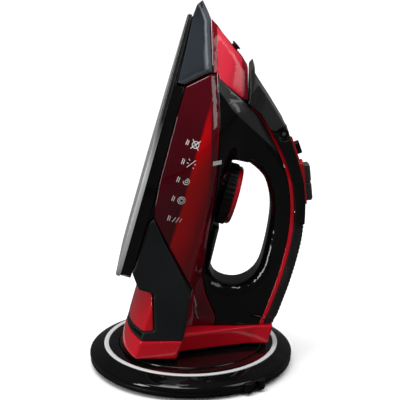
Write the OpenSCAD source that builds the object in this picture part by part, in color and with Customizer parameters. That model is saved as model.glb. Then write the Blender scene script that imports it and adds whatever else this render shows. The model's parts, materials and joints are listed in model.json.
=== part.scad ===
// Cordless steam iron standing nose up on its round charging base.
// The iron is drawn in its own frame: x runs from the heel to the nose, z rises from the
// soleplate's seat to the back of the grip, and y crosses the iron. dock() stands it on the base.

/* [Iron] */
// Length of the iron from heel to nose
iron_len = 287; // [239:1:345]
// Height from the soleplate's seat to the back of the grip
iron_high = 137; // [128:1:150]
// Width across the widest part of the body
iron_wide = 110; // [98:1:132]
// Lean of the standing iron towards its handle
lean = 16; // [14:0.5:18]
// Wall of the moulded covers
wall = 2.2; // [1.6:0.1:2.8]
// Gap left at each side of a seam
seam = 0.15; // [0.1:0.05:0.25]

/* [Soleplate] */
// Thickness of the soleplate
sole_t = 3.5; // [2.5:0.1:5]
// Diameter of a steam hole
steam_hole_d = 3; // [2:0.1:4]
// Thickness of the cast steam chamber
casting_t = 9; // [8:0.5:10]
// Diameter of the heating element's sheath
heater_d = 6.5; // [5:0.1:7]

/* [Dial] */
// Radius of the temperature dial
dial_r = 25.5; // [21:0.1:30.6]
// Place of the dial's axis along the iron
dial_x = 132; // [128:1:136]
// Height of the dial's underside
dial_z = 61.5; // [61:0.5:63]
// Height of the black grip of the dial
dial_t = 9; // [7:0.5:10]
// Height of the red face of the dial
dial_face_t = 4; // [3:0.5:5]
// Radius of the dial's shaft
dial_shaft_r = 3; // [2:0.1:4]

/* [Controls] */
// Length of one button cap along the handle
button_len = 14.5; // [12:0.1:17.4]
// Width of the button caps
button_w = 13; // [10:0.5:14]
// Travel of the spray and steam buttons
button_travel = 3.5; // [2:0.5:4.5]
// Radius of a pump's piston
piston_r = 2.5; // [2:0.1:3]
// Travel of the steam slider
slider_travel = 5; // [3:0.5:6]
// Lift of the drip valve's needle
needle_lift = 3; // [2:0.5:4]
// Radius of the drip valve's needle
needle_r = 1.5; // [1:0.1:2]
// Radial clearance of pins, shafts and pistons in their bores
fit = 0.06; // [0.03:0.01:0.1]

/* [Charging base] */
// Outer radius of the base
base_r = 85; // [82:1:104]
// Height of the silver ring above the floor
base_high = 17; // [15:0.5:20]
// Middle radius of the silver ring
ring_r = 71; // [68:0.5:72]
// Width of the silver ring
ring_w = 3.8; // [3:0.1:5]
// Radius of the turntable
table_r = 60; // [52:0.5:64]
// Radius of the dock's plug
plug_r = 24; // [19:0.2:28.8]
// Radius of the spindle that the turntable turns on
spindle_r = 9; // [7:0.5:11]
// Radius of the cord's bore in its outlet
cord_r = 3.5; // [2.8:0.1:4.5]
// Height of the rubber feet below the bottom shell
foot_h = 1.5; // [1:0.1:1.8]
// Radius of a rubber foot
foot_r = 7; // [5:0.5:9]

/* [Hidden] */
$fn = 48;

// The outlines below are drawn for the first size of iron and stretch with it.
kx = iron_len / 287;
kz = iron_high / 137;
ky = iron_wide / 110;

// Where the iron's own origin stands over the base.
stand_x = -70.8;
stand_z = 37.3;
heel_bottom = base_high + 4.2;
heel_top = heel_bottom + 15.8;
s = sin(lean);
c = cos(lean);

// Place along the iron of a level plane at height v, where the iron is z thick.
function level_x(v, z) = (v - stand_z + z * s) / c;
function ring_pts(a, b, n) = [for (i = [0 : n]) a + (b - a) * i / n];
function fitted(pts) = [for (p = pts) [p[0] * kx, p[1] * kz]];

// A smooth curve through points, with n steps between each pair.
function curve_pt(a, b, d, e, t) = 0.5 * (2 * b + (d - a) * t
    + (2 * a - 5 * b + 4 * d - e) * t * t + (3 * b - a - 3 * d + e) * t * t * t);
function curve(p, n = 4) = [for (i = [0 : len(p) - 2]) for (j = [0 : n - 1])
    curve_pt(p[max(i - 1, 0)], p[i], p[i + 1], p[min(i + 2, len(p) - 1)], j / n), p[len(p) - 1]];

// Half widths: the body in plan, then its cross sections at the front and at the heel, with the handle
// above. Each cover is this form cut by its own side outline.
plan_half = [[-20, 50.5], [20, 51.5], [50, 53], [75, 54.5], [100, 55], [130, 53.5], [160, 48],
    [190, 39.5], [215, 29.5], [235, 20], [250, 12.5], [262, 7], [277, 3]];
main_section = [[-20, 55], [9, 54.2], [20, 51.7], [35, 46.8], [50, 39.6], [56, 34], [61, 26],
    [66, 21], [72, 18.5], [150, 18]];
rear_section = [[-20, 52], [60, 38], [98, 25], [150, 9]];
rear_x = 50;
skirt_plan = [[-20, 50.5], [20, 51.5], [60, 52.5], [115, 53.5], [115, -53.5], [60, -52.5],
    [20, -51.5], [-20, -50.5]];

// Sole outline from the heel end to the nose.
sole_half = [[52, 34], [54, 43], [60, 50], [75, 54.5], [100, 56], [130, 54.5], [160, 49],
    [190, 40.5], [215, 31], [235, 21], [248, 13.5], [258, 7], [262, 3]];

// The tank's roof line, the handle's red stripe and the back of the handle.
roof = [[20, 66], [66, 64.6], [91.6, 61.4], [133, 56], [172.8, 47.6], [203, 38.8], [227, 31]];
stripe = [[20, 123], [45, 124.8], [73, 126.5], [95, 126.5], [112, 125.3], [129, 122.3], [145, 117.5],
    [161, 110.3], [175, 101], [189, 88.5], [205, 71], [213, 56]];
back = [[20, 134], [57, 136], [76, 137], [97, 137], [114, 135.8], [129, 133], [143, 129.5],
    [161, 122.5], [175, 114], [186, 106.5], [196, 99.3], [202, 94], [217, 77.7], [231.5, 60.5]];
stripe_w = 3.6;
function stripe_z(x) = lookup(x, stripe);
function back_z(x) = lookup(x, back);

// Stands the iron on its base.
module dock() {
    translate([stand_x, 0, stand_z]) rotate([0, lean - 90, 0]) rotate([180, 0, 0]) children();
}

// A slab across the iron with a side outline.
module slab(pts, w = 2 * iron_wide) {
    rotate([90, 0, 0]) linear_extrude(height = w, center = true) polygon(pts);
}
module slab_in(pts, d, w = 2 * iron_wide) {
    rotate([90, 0, 0]) linear_extrude(height = w, center = true) offset(delta = -d) polygon(pts);
}

// The outer form, inset by d: the plan outline crossed with the cross sections of the iron.
plan_pts = concat([for (p = plan_half) [p[0] * kx, p[1] * ky]],
    [for (i = [len(plan_half) - 1 : -1 : 0]) [plan_half[i][0] * kx, -plan_half[i][1] * ky]]);
function section_pts(list) = concat([for (p = list) [p[1] * ky, p[0] * kz]],
    [for (i = [len(list) - 1 : -1 : 0]) [-list[i][1] * ky, list[i][0] * kz]]);
module across_section(list, x0, x1, d) translate([x0, 0, 0]) rotate([90, 0, 90])
    linear_extrude(height = x1 - x0) offset(delta = -d) polygon(section_pts(list));
module form(d = 0) intersection() {
    translate([0, 0, -20]) linear_extrude(height = 200) offset(delta = -d) polygon(plan_pts);
    union() {
        across_section(main_section, 10, 300, d);
        across_section(rear_section, -40, rear_x * kx, d);
    }
}
module skirt_form(d = 0) translate([-30, 0, 0]) linear_extrude(height = 70 * kz)
    offset(delta = -d) polygon([for (p = skirt_plan) [p[0] * kx + 30, p[1] * ky]]);

// The underside of the rear block is one shallow arc across the iron.
rear_arc_r = 103;
rear_arc_z = 16.5;
module rear_arc(d = 0) {
    translate([-40, 0, rear_arc_z * kz + rear_arc_r]) rotate([0, 90, 0])
        cylinder(r = rear_arc_r - d, h = 140 * kx, $fn = 128);
}

// ---- charging base ----
shell_r = base_r - 0.4;
seam_z = 7.2;
rim_z = base_high - 6.2;
well_r = table_r + 0.6;
deck_z = base_high - 0.4;
drain_r = 3;
screw_ring = base_r - 33;
foot_ring = base_r - 19;
screw_angles = [10 : 90 : 280];
foot_angles = [20 : 90 : 290];
well_z = 9.8;

module base_bottom_shell() color([0.05, 0.05, 0.055]) difference() {
    union() {
        rotate_extrude($fn = 96) polygon([[0, foot_h], [shell_r - 3, foot_h], [shell_r, foot_h + 2.5],
            [shell_r, seam_z - 0.1], [shell_r - wall, seam_z - 0.1],
            [shell_r - wall, foot_h + 3], [shell_r - 5, foot_h + 2], [0, foot_h + 2]]);
        for (a = screw_angles) rotate(a) translate([screw_ring, 0, foot_h])
            cylinder(r = 4, h = well_z - foot_h - 2.2);
    }
    translate([0, 0, -1]) cylinder(r = drain_r, h = 20);
    for (a = screw_angles) rotate(a) translate([screw_ring, 0, -1]) cylinder(r = 1.7, h = 20);
    for (a = foot_angles) rotate(a) translate([foot_ring, 0, -1]) cylinder(r = foot_r - 1.5, h = 20);
    outlet_cut();
}

// Cord outlet on the rim.
outlet_a = -53;
outlet_w = 20;
outlet_h = 8.4;
outlet_z = foot_h + 0.7 + outlet_h / 2;
outlet_in = base_r - 9;
outlet_out = base_r + 3.5;
module outlet_cut() rotate(outlet_a)
    translate([outlet_in - 0.3, -outlet_w / 2 - 0.2, outlet_z - outlet_h / 2 - 0.2])
        cube([20, outlet_w + 0.4, outlet_h + 0.4]);

module base_top_cover() color([0.04, 0.04, 0.045]) difference() {
    rotate_extrude($fn = 96) polygon([[base_r, seam_z + 0.1], [base_r, rim_z - 1], [base_r - 1, rim_z + 0.4],
        [ring_r + ring_w / 2 + 0.2, deck_z], [ring_r + ring_w / 2 + 0.2, deck_z - 1.4],
        [ring_r - ring_w / 2 - 0.2, deck_z - 1.4], [ring_r - ring_w / 2 - 0.2, deck_z],
        [well_r, deck_z + 0.3], [well_r, well_z], [spindle_r + 6, well_z], [spindle_r + 6, well_z - 1.8],
        [well_r + 1.8, well_z - 1.8], [well_r + 1.8, deck_z - 3.2], [ring_r + 4, deck_z - 3.2],
        [base_r - 2.4, rim_z - 1.8], [base_r - 2.4, seam_z + 0.1]]);
    outlet_cut();
    for (a = screw_angles) rotate(a) translate([screw_ring, 0, 0]) cylinder(r = 1.7, h = well_z - 1);
}
module base_ring() color([0.8, 0.8, 0.82]) rotate_extrude($fn = 128) polygon([
    [ring_r - ring_w / 2, deck_z - 1.3], [ring_r + ring_w / 2, deck_z - 1.3],
    [ring_r + ring_w / 2, deck_z + 0.2], [ring_r + ring_w / 4, deck_z + 0.4],
    [ring_r - ring_w / 4, deck_z + 0.4], [ring_r - ring_w / 2, deck_z + 0.2]]);
module base_feet() color([0.1, 0.1, 0.1]) for (a = foot_angles) rotate(a)
    translate([foot_ring, 0, 0]) {
        cylinder(r = foot_r, h = foot_h - 0.1);
        cylinder(r = foot_r - 1.6, h = foot_h + 2);
    }
module base_screws() color([0.6, 0.6, 0.62]) for (a = screw_angles) rotate(a)
    translate([screw_ring, 0, foot_h - 1.2]) {
        cylinder(r = 3, h = 1.1);
        cylinder(r = 1.6, h = well_z - foot_h - 1);
    }
hub_top = base_high + 3.8;
module hub_spindle() color([0.75, 0.74, 0.7]) difference() {
    union() {
        translate([0, 0, foot_h + 2.1]) cylinder(r = spindle_r + 5.4, h = base_high - 5.1 - foot_h - 2.1);
        translate([0, 0, foot_h + 2.1]) cylinder(r = spindle_r, h = hub_top - foot_h - 2.1);
    }
    translate([0, 0, -1]) cylinder(r = drain_r + 0.5, h = hub_top + 5);
    translate([0, 0, hub_top - 3.2]) difference() {
        cylinder(r = spindle_r + 1, h = 1.8);
        translate([0, 0, -1]) cylinder(r = spindle_r - 1.4, h = 4);
    }
}
slip_r = [20, 27];
module slip_contacts() color([0.8, 0.6, 0.25]) for (r = slip_r) difference() {
    translate([0, 0, well_z + 0.1]) cylinder(r = r + 1.2, h = 0.9);
    cylinder(r = r - 1.2, h = 30);
}
module terminal_block() color([0.85, 0.83, 0.75]) rotate(outlet_a)
    translate([outlet_in - 34, -9, foot_h + 2.2]) difference() {
        cube([16, 18, 3.6]);
        for (y = [4, 14]) translate([8, y, -1]) cylinder(r = 1.5, h = 12);
    }
module base_wiring() color([0.75, 0.1, 0.1]) rotate(outlet_a) for (y = [-5, 5])
    translate([spindle_r + 6.2, y, foot_h + 3.6]) rotate([0, 90, 0])
        cylinder(r = 1.1, h = outlet_in - 34.4 - spindle_r - 6);
module cord_outlet() color([0.05, 0.05, 0.05]) rotate(outlet_a) difference() {
    union() {
        translate([outlet_in, -outlet_w / 2, outlet_z - outlet_h / 2])
            cube([outlet_out - outlet_in - 2, outlet_w, outlet_h]);
        for (side = [-1, 1]) translate([outlet_out - 4, side * (outlet_w / 2 - 4), outlet_z - outlet_h / 2])
            cylinder(r = 4, h = outlet_h);
    }
    translate([outlet_in - 1, 0, outlet_z]) rotate([0, 90, 0]) cylinder(r = cord_r, h = 30);
}

// ---- turntable and dock ----
table_z = base_high - 5;
table_top = base_high + 0.8;
plug_top = heel_bottom + 8;
pin_ring = plug_r / 2;
pin_angles = [90, 210, 330];
brush_a = 60;
brush_r = 1.1;
module turntable() color([0.06, 0.06, 0.065]) difference() {
    union() {
        rotate_extrude($fn = 96) polygon([[0, table_z], [table_r, table_z], [table_r, table_top - 0.8],
            [table_r - 0.8, table_top], [0, table_top]]);
        translate([0, 0, table_z]) cylinder(r = plug_r, h = plug_top - table_z, $fn = 96);
    }
    translate([0, 0, table_z - 1]) cylinder(r = spindle_r + fit, h = 10);
    translate([0, 0, table_top - 1.6])
        cylinder(r = plug_r - wall, h = plug_top - table_top + 1.6 - wall, $fn = 96);
    for (a = pin_angles) rotate(a) translate([pin_ring, 0, table_top + 2]) cylinder(r = 2, h = 30);
    for (r = slip_r) rotate(brush_a) translate([r, 0, table_z - 1]) cylinder(r = brush_r + 0.05, h = 3);
}
module turntable_clip() color([0.6, 0.6, 0.62]) translate([0, 0, hub_top - 3.1]) difference() {
    cylinder(r = spindle_r + 2.5, h = 1.4);
    translate([0, 0, -1]) cylinder(r = spindle_r - 1.3, h = 4);
}
module dock_blades() color([0.85, 0.68, 0.3]) {
    for (a = pin_angles) rotate(a) translate([pin_ring, 0, plug_top - wall - 2])
        cylinder(r = 1.95, h = wall + 6);
    for (r = slip_r) rotate(brush_a) translate([r, 0, well_z + 1.1])
        cylinder(r = brush_r, h = table_z + 0.5 - well_z);
}

// ---- heel of the iron ----
module undock() {
    rotate([-180, 0, 0]) rotate([0, 90 - lean, 0]) translate([-stand_x, 0, -stand_z]) children();
}
// Side outline of a level slice of the heel, between heights v0 and v1 over the floor.
function heel_slice(v0, v1, z0, z1) = [[level_x(v0, z0 * kz), z0 * kz], [level_x(v0, z1 * kz), z1 * kz],
    [level_x(v1, z1 * kz), z1 * kz], [level_x(v1, z0 * kz), z0 * kz]];
module heel_form(d = 0) {
    intersection() {
        skirt_form(d);
        translate([-50, -100, -50]) cube([200, 200, 50 + 62 * kz - d]);
    }
    form(d);
}
heel_deck = heel_top - 2;
module heel_cap() color([0.72, 0.02, 0.04]) dock() difference() {
    intersection() {
        slab(heel_slice(heel_bottom, heel_top - seam, 16, 134));
        heel_form();
        rear_arc();
    }
    intersection() {
        slab(heel_slice(heel_bottom + wall, heel_deck, 19, 131));
        heel_form(wall);
        rear_arc(wall);
    }
    undock() translate([0, 0, heel_bottom - 1]) cylinder(r = plug_r + 4.3, h = heel_deck - heel_bottom + 1);
}
module heel_socket() color([0.12, 0.12, 0.13]) difference() {
    translate([0, 0, heel_bottom + 0.1]) cylinder(r = plug_r + 4, h = heel_deck - heel_bottom - 0.2);
    translate([0, 0, heel_bottom - 1]) cylinder(r = plug_r + 0.6, h = plug_top - heel_bottom + 1.3);
    for (a = pin_angles) rotate(a) translate([pin_ring, 0, heel_bottom]) cylinder(r = 2.8, h = 20);
}
module heel_sleeves() color([0.85, 0.68, 0.3]) for (a = pin_angles) rotate(a)
    translate([pin_ring, 0, plug_top + 0.5]) difference() {
        cylinder(r = 2.75, h = 4.6);
        translate([0, 0, -1]) cylinder(r = 2.1, h = 8);
    }

// ---- soleplate and steam chamber ----
sole_pts = curve(concat(sole_half, [[263.5, 0]]), 3);
sole_other = [for (i = [len(sole_pts) - 2 : -1 : 0]) [sole_pts[i][0], -sole_pts[i][1]]];
sole_plan = [for (p = concat(sole_pts, sole_other)) [p[0] * kx, p[1] * ky]];
module sole_layer(z0, z1, d) translate([0, 0, z0]) linear_extrude(height = z1 - z0)
    offset(delta = -d) polygon(sole_plan);
cast_end = 208;
shield_rim = 8.6;
module short_layer(z0, z1, d, x1 = cast_end) intersection() {
    sole_layer(z0, z1, d);
    translate([0, -100, z0]) cube([x1 * kx, 200, z1 - z0]);
}
needle_x = 177;
thermostat_z = casting_t + 3.4;
module sole_plate() color([0.85, 0.85, 0.86]) dock() difference() {
    union() {
        sole_layer(-sole_t + 0.8, 0, 0);
        sole_layer(-sole_t, -sole_t + 0.8, 0.6);
    }
    for (side = [-1, 1], i = [0 : 7]) let (x = 90 + i * 20)
        translate([x * kx, side * (lookup(x, sole_half) - 14) * ky, -10]) cylinder(d = steam_hole_d, h = 20);
    for (i = [0 : 4]) translate([(150 + i * 18) * kx, 0, -10]) cylinder(d = steam_hole_d, h = 20);
}
heater_start = sole_half[0][0] * kx + 9.2;
heater_bend = 170;
heater_half = 22;
module heater_path(r) {
    for (side = [-1, 1]) translate([heater_start, side * heater_half * ky, casting_t / 2])
        rotate([0, 90, 0]) cylinder(r = r, h = heater_bend * kx - heater_start);
    translate([heater_bend * kx, 0, casting_t / 2]) rotate(-90) rotate_extrude(angle = 180)
        translate([heater_half * ky, 0]) circle(r = r);
}
module steam_chamber() color([0.7, 0.7, 0.72]) dock() difference() {
    short_layer(0.1, casting_t, 9);
    heater_path(heater_d / 2 + 0.1);
    translate([120 * kx, 0, casting_t - 4]) cylinder(r = 10, h = 10);
    translate([165 * kx, -8, casting_t - 4]) cube([24, 16, 10]);
}
module heating_element() color([0.55, 0.55, 0.58]) dock() heater_path(heater_d / 2);
module chamber_gasket() color([0.6, 0.15, 0.1]) dock() difference() {
    short_layer(casting_t + 0.1, casting_t + 0.9, 9.5);
    short_layer(casting_t - 1, casting_t + 2, 13, cast_end - 4);
}
module chamber_cover() color([0.75, 0.75, 0.77]) dock() difference() {
    short_layer(casting_t + 1, casting_t + 2.4, 9.5);
    translate([needle_x * kx, 0, 0]) cylinder(r = 3, h = 40);
}
module thermostat() color([0.8, 0.78, 0.72]) dock()
    translate([dial_x * kx, 0, thermostat_z - 0.8]) difference() {
        union() {
            translate([-14, -9, 0]) cube([28, 18, 2]);
            cylinder(r = 7, h = 5.5);
        }
        translate([0, 0, 2.2]) cylinder(r = dial_shaft_r + fit, h = 10);
    }
module thermal_fuse() color([0.85, 0.85, 0.8]) dock() translate([84 * kx, 0, casting_t + 4.6]) {
    rotate([0, 90, 0]) cylinder(r = 2, h = 14);
    for (dx = [-3, 14.1]) translate([dx, 0, 0]) rotate([0, 90, 0]) cylinder(r = 0.6, h = 2.9);
}
dome_z = 21;
dome_in = 6.6;
module heat_shield() color([0.03, 0.03, 0.035]) dock() difference() {
    union() {
        sole_layer(0.1, 1.9, 0.9);
        short_layer(0.1, shield_rim, 0.9, cast_end + 4);
        short_layer(6.4, dome_z, dome_in, cast_end + 3);
    }
    short_layer(-1, 6.4, 0.9 + wall, cast_end + 1);
    short_layer(-1, dome_z - 1.8, dome_in + 2, cast_end + 1);
    translate([dial_x * kx, 0, 0]) cylinder(r = 7.4, h = 40);
    translate([needle_x * kx, 0, 0]) cylinder(r = 3.2, h = 40);
}

// ---- tank and body covers ----
tank_outline = fitted(concat([[212.5, 9.2], [226.5, 26], [227, 31]],
    [for (i = [len(roof) - 2 : -1 : 1]) roof[i]], [[50, 72], [32, 86]]));
tank_heel = [[level_x(heel_top, 86 * kz) , 86 * kz], [level_x(heel_top, 63.5 * kz), 63.5 * kz]];
tank_back = fitted([[54.6, 59.4], [73, 44.6], [95, 26.2], [110, 13.9], [120, 11], [141, 9.4]]);
column_r = 5.2;
funnel_tilt = 30;
funnel_r = 4;
module at_funnel() translate([194 * kx, 0, 41 * kz]) rotate([0, funnel_tilt, 0]) children();
module water_tank() color([0.6, 0.01, 0.03]) dock() difference() {
    union() {
        difference() {
            intersection() {
                form();
                slab_in(concat(tank_outline, tank_heel, tank_back), seam);
            }
            sole_layer(-1, dome_z + 0.4, dome_in - 0.5);
            intersection() {
                form(wall);
                slab_in(concat(tank_outline, tank_heel, tank_back), wall + seam);
                translate([0, -100, dome_z + 0.4 + wall]) cube([400, 200, 100]);
            }
        }
        intersection() {
            for (x = [dial_x, needle_x]) translate([x * kx, 0, dome_z + 1]) cylinder(r = column_r, h = 80);
            slab_in(concat(tank_outline, tank_heel, tank_back), seam);
        }
    }
    translate([dial_x * kx, 0, 0]) cylinder(r = dial_shaft_r + 1.3, h = 100);
    translate([needle_x * kx, 0, 0]) cylinder(r = needle_r + 0.6, h = 100);
    at_funnel() translate([0, 0, -12]) cylinder(r = funnel_r, h = 20);
}
nose_outline = fitted([[277, 4.6], [264.5, 14.8], [241, 22.6], [227.4, 27.2], [224, 22], [213.2, 9],
    [214, 2.6], [240, 1.8], [262, 0.6], [272, 1.2]]);
module nose_cover() color([0.16, 0.18, 0.2]) dock() difference() {
    intersection() {
        form(-0.3);
        slab_in(nose_outline, seam);
    }
    sole_layer(-1, 2.1, 0.2);
    intersection() {
        sole_layer(-1, 12, 4);
        translate([219 * kx, -100, -1]) cube([34 * kx, 200, 14]);
    }
    intersection() {
        form(wall);
        slab_in(nose_outline, wall);
    }
}
panel_outline = fitted([[264.8, 15.5], [261, 21.5], [256.5, 27], [250.7, 35], [242.3, 47.5], [236.8, 53.2],
    [213.6, 60], [213.8, 56], [224, 33.4], [227.6, 31.2], [227.6, 27.6], [241, 23.2]]);
module front_panel() color([0.78, 0.02, 0.05]) dock() difference() {
    intersection() {
        form();
        slab_in(panel_outline, seam);
    }
    intersection() {
        form(wall);
        slab_in(panel_outline, wall);
    }
    at_nozzle() translate([0, 0, -20]) cylinder(r = 3.3, h = 40);
}
module at_nozzle() translate([247 * kx, 0, 38 * kz]) rotate([0, 57, 0]) children();
module spray_nozzle() color([0.05, 0.05, 0.05]) dock() at_nozzle() difference() {
    union() {
        translate([0, 0, -6]) cylinder(r = 3.1, h = 9.5);
        translate([0, 0, 3.2]) cylinder(r = 4.2, h = 1.2);
    }
    translate([0, 0, -7]) cylinder(r = 0.6, h = 20);
}
rim_low = 6;
rim_high = 9;
skirt_outline = concat(fitted([[96, 2.6], [110.5, 13.2], [94.6, 25.6], [72.6, 44.1], [54.4, 58.9]]),
    [[level_x(heel_top, 63 * kz), 63 * kz], [level_x(heel_top, 14 * kz), 14 * kz],
        [level_x(heel_top, 14 * kz) + rim_low, 14 * kz], [level_x(heel_top, 38 * kz) + rim_high, 38 * kz]],
    fitted([[48.2, 29.6], [48.6, 18.8], [54, 14], [61.3, 8.8], [70.8, 3.6], [80, 2.2]]));
module rear_skirt() color([0.14, 0.145, 0.15]) dock() difference() {
    intersection() {
        skirt_form();
        slab_in(skirt_outline, seam);
        rear_arc_or_front();
    }
    sole_layer(-1, 9, -0.3);
    sole_layer(8, dome_z + 0.4, dome_in - 0.5);
    intersection() {
        skirt_form(wall);
        slab_in(skirt_outline, wall);
    }
    intersection() {
        form(-0.3);
        slab_in(concat(tank_outline, tank_heel, tank_back), -seam);
    }
}
module rear_arc_or_front() {
    rear_arc();
    translate([50 * kx, -100, -10]) cube([100, 200, 120]);
}
window_outline = concat(fitted([[48, 16], [47.8, 29.2]]),
    [[level_x(heel_top, 37.6 * kz) + rim_high, 37.6 * kz],
        [level_x(heel_top, 14 * kz) + rim_low, 14 * kz]]);
module heel_window() color([0.8, 0.02, 0.05]) dock() difference() {
    intersection() {
        skirt_form();
        slab_in(window_outline, seam);
        rear_arc();
    }
    intersection() {
        skirt_form(wall);
        slab_in(concat(fitted([[70, 16], [70, 50]]), [[level_x(heel_top, 80 * kz), 80 * kz],
            [level_x(heel_top, 14 * kz) - 10, 14 * kz]]), wall);
        rear_arc(wall);
    }
}
module iron_wiring() color([0.9, 0.9, 0.85]) dock() for (y = [-12, 12]) translate([20 * kx, y, 43 * kz])
    rotate([0, 90, 0]) cylinder(r = 1.2, h = 36);

// ---- handle ----
opening = curve([[165, 66], [163.5, 76], [158, 87.6], [151, 94.4], [136, 102.2], [119, 106.2], [98, 108.4],
    [82, 108.4], [71, 104.4], [63.5, 96.5], [60.8, 86], [63, 76], [70, 70]], 3);
deck_front = [[104, 68.4], [105, 61], [164, 61]];
opening_pts = fitted(concat(opening, deck_front));
handle_outline = concat(
    fitted([for (p = roof) if (p[0] > 50) [p[0], p[1] + 0.3]]),
    fitted([[224.2, 33.6], [213.4, 55.6]]),
    fitted([for (x = [208 : -8 : 40]) [x, stripe_z(x) - stripe_w / 2]]),
    [for (z = [122, 86.4]) [level_x(heel_top, z * kz), z * kz]],
    fitted([[32.3, 86.4], [50.3, 72.4]]));
screw_spots = fitted([[46, 99], [95, 117.2], [197, 70]]);
module across(p, y0, y1, r) translate([p[0], y0, p[1]]) rotate([-90, 0, 0])
    cylinder(r = r, h = y1 - y0, $fn = 24);
module handle_shell(side) difference() {
    union() {
        difference() {
            intersection() {
                form();
                slab_in(handle_outline, seam);
            }
            difference() {
                intersection() {
                    form(wall);
                    slab_in(handle_outline, wall + seam);
                }
                slab_in(opening_pts, -wall);
            }
        }
        intersection() {
            for (p = screw_spots) across(p, -40, 40, 3.2);
            form(1);
        }
    }
    slab(opening_pts);
    for (p = screw_spots) {
        across(p, -60, 60, 1.5);
        across(p, -60, -8, 2.9);
    }
    translate([dial_x * kx, 0, 40]) cylinder(r = dial_shaft_r + 1.3, h = 80);
    translate([dial_x * kx, 0, dial_z - 0.6]) cylinder(r = dial_r + 0.6, h = 30);
    translate([needle_x * kx, 0, 0]) cylinder(r = needle_r + 0.6, h = 60 * kz);
    at_funnel() translate([0, 0, -4]) cylinder(r = 6, h = 60);
    at_buttons() translate([0, 0, -40]) cylinder(r = button_len - 1, h = 70);
    at_slider() translate([-14, -6, -8]) cube([28, 12, 30]);
    translate([-50, side > 0 ? -100 + seam : -seam, -50]) cube([500, 100, 300]);
}
module handle_left() color([0.02, 0.02, 0.022]) dock() handle_shell(1);
module handle_right() color([0.02, 0.02, 0.022]) dock() handle_shell(-1);
module handle_screws() color([0.6, 0.6, 0.62]) dock() for (p = screw_spots) {
    across(p, -8, 9, 1.4);
    across(p, -10, -8.1, 2.6);
}
stripe_band = concat(
    fitted([for (x = [48 : 8 : 208]) [x, stripe_z(x) + stripe_w / 2]]),
    fitted([for (x = [208 : -8 : 48]) [x, stripe_z(x) - stripe_w / 2]]),
    [[level_x(heel_top, 122.5 * kz), 122.5 * kz], [level_x(heel_top, 126 * kz), 126 * kz]]);
module stripe_trim(side) difference() {
    intersection() {
        form();
        slab_in(stripe_band, seam);
        translate([-50, side > 0 ? 0 : -100, -50]) cube([500, 100, 300]);
    }
    form(3);
}
module stripe_left() color([0.8, 0.02, 0.05]) dock() stripe_trim(1);
module stripe_right() color([0.8, 0.02, 0.05]) dock() stripe_trim(-1);

// The back of the handle between two places, above the stripe.
function back_band(x0, x1, n) = concat(
    fitted([for (x = ring_pts(x0, x1, n)) [x, stripe_z(x) + stripe_w / 2]]),
    fitted([for (x = ring_pts(x1, x0, n)) [x, back_z(x)]]));
pad_end = 128;
pad_outline = concat(fitted([for (x = ring_pts(46, pad_end, 10)) [x, stripe_z(x) + stripe_w / 2]]),
    fitted([for (x = ring_pts(pad_end, 46, 10)) [x, back_z(x)]]),
    [[level_x(heel_top, 134 * kz), 134 * kz], [level_x(heel_top, 126.2 * kz), 126.2 * kz]]);
module grip_pad() color([0.04, 0.04, 0.04]) dock() difference() {
    intersection() {
        form();
        slab_in(pad_outline, seam);
    }
    intersection() {
        form(3);
        slab_in([for (p = pad_outline) [p[0], p[1] - 3]], 0);
    }
}
pin_x = 194.5;
pin_z = 95.5;
knuckle_r = 4.2;
pin_r = 1.4;
cheek_y = 9.5;
cheek_w = 2.9;
cheek_mid = cheek_y + 0.1 + cheek_w / 2;
button_tilt = 22;
slider_tilt = 36;
button_x = 158.5;
slider_x = 183;
module at_buttons() translate([button_x * kx, 0, back_z(button_x) * kz])
    rotate([0, button_tilt, 0]) children();
module at_slider() translate([slider_x * kx, 0, back_z(slider_x) * kz])
    rotate([0, slider_tilt, 0]) children();
module at_pin() translate([pin_x * kx, 0, pin_z * kz]) rotate([90, 0, 0]) children();
module control_bezel() color([0.05, 0.05, 0.055]) dock() difference() {
    union() {
        difference() {
            intersection() {
                form();
                slab_in(back_band(pad_end, pin_x, 8), seam);
            }
            at_pin() cylinder(r = knuckle_r + 0.5, h = 80, center = true);
            intersection() {
                form(2.5);
                slab([for (p = back_band(pad_end, pin_x - 6, 8)) [p[0], p[1] - 3]]);
            }
        }
        for (side = [-1, 1]) at_pin() translate([0, 0, side * cheek_mid])
            cylinder(r = knuckle_r, h = cheek_w, center = true);
        for (side = [-1, 1])
            translate([(pin_x - 8.4) * kx, side * cheek_mid - cheek_w / 2, pin_z * kz - 2.5])
                cube([6, cheek_w, 5]);
    }
    at_pin() cylinder(r = pin_r + 0.02, h = 80, center = true);
    at_buttons() translate([-frame_l / 2 - 0.2, -frame_w / 2 - 0.2, -30])
        cube([frame_l + 0.4, frame_w + 0.4, 60]);
    at_slider() translate([-3.5, -3.3, -20]) cube([slot_l, 6.6, 60]);
    slab(back_strip(frame_x0 - 0.3, frame_x1 + 0.3, -1.5, 3), 2 * frame_half + 0.4);
    translate([pilot_x * kx, 0, 100]) cylinder(r = 3.1, h = 60);
}
frame_l = 2 * button_len + 5;
frame_w = button_w + 4;
slot_l = slider_travel + 7;
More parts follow.
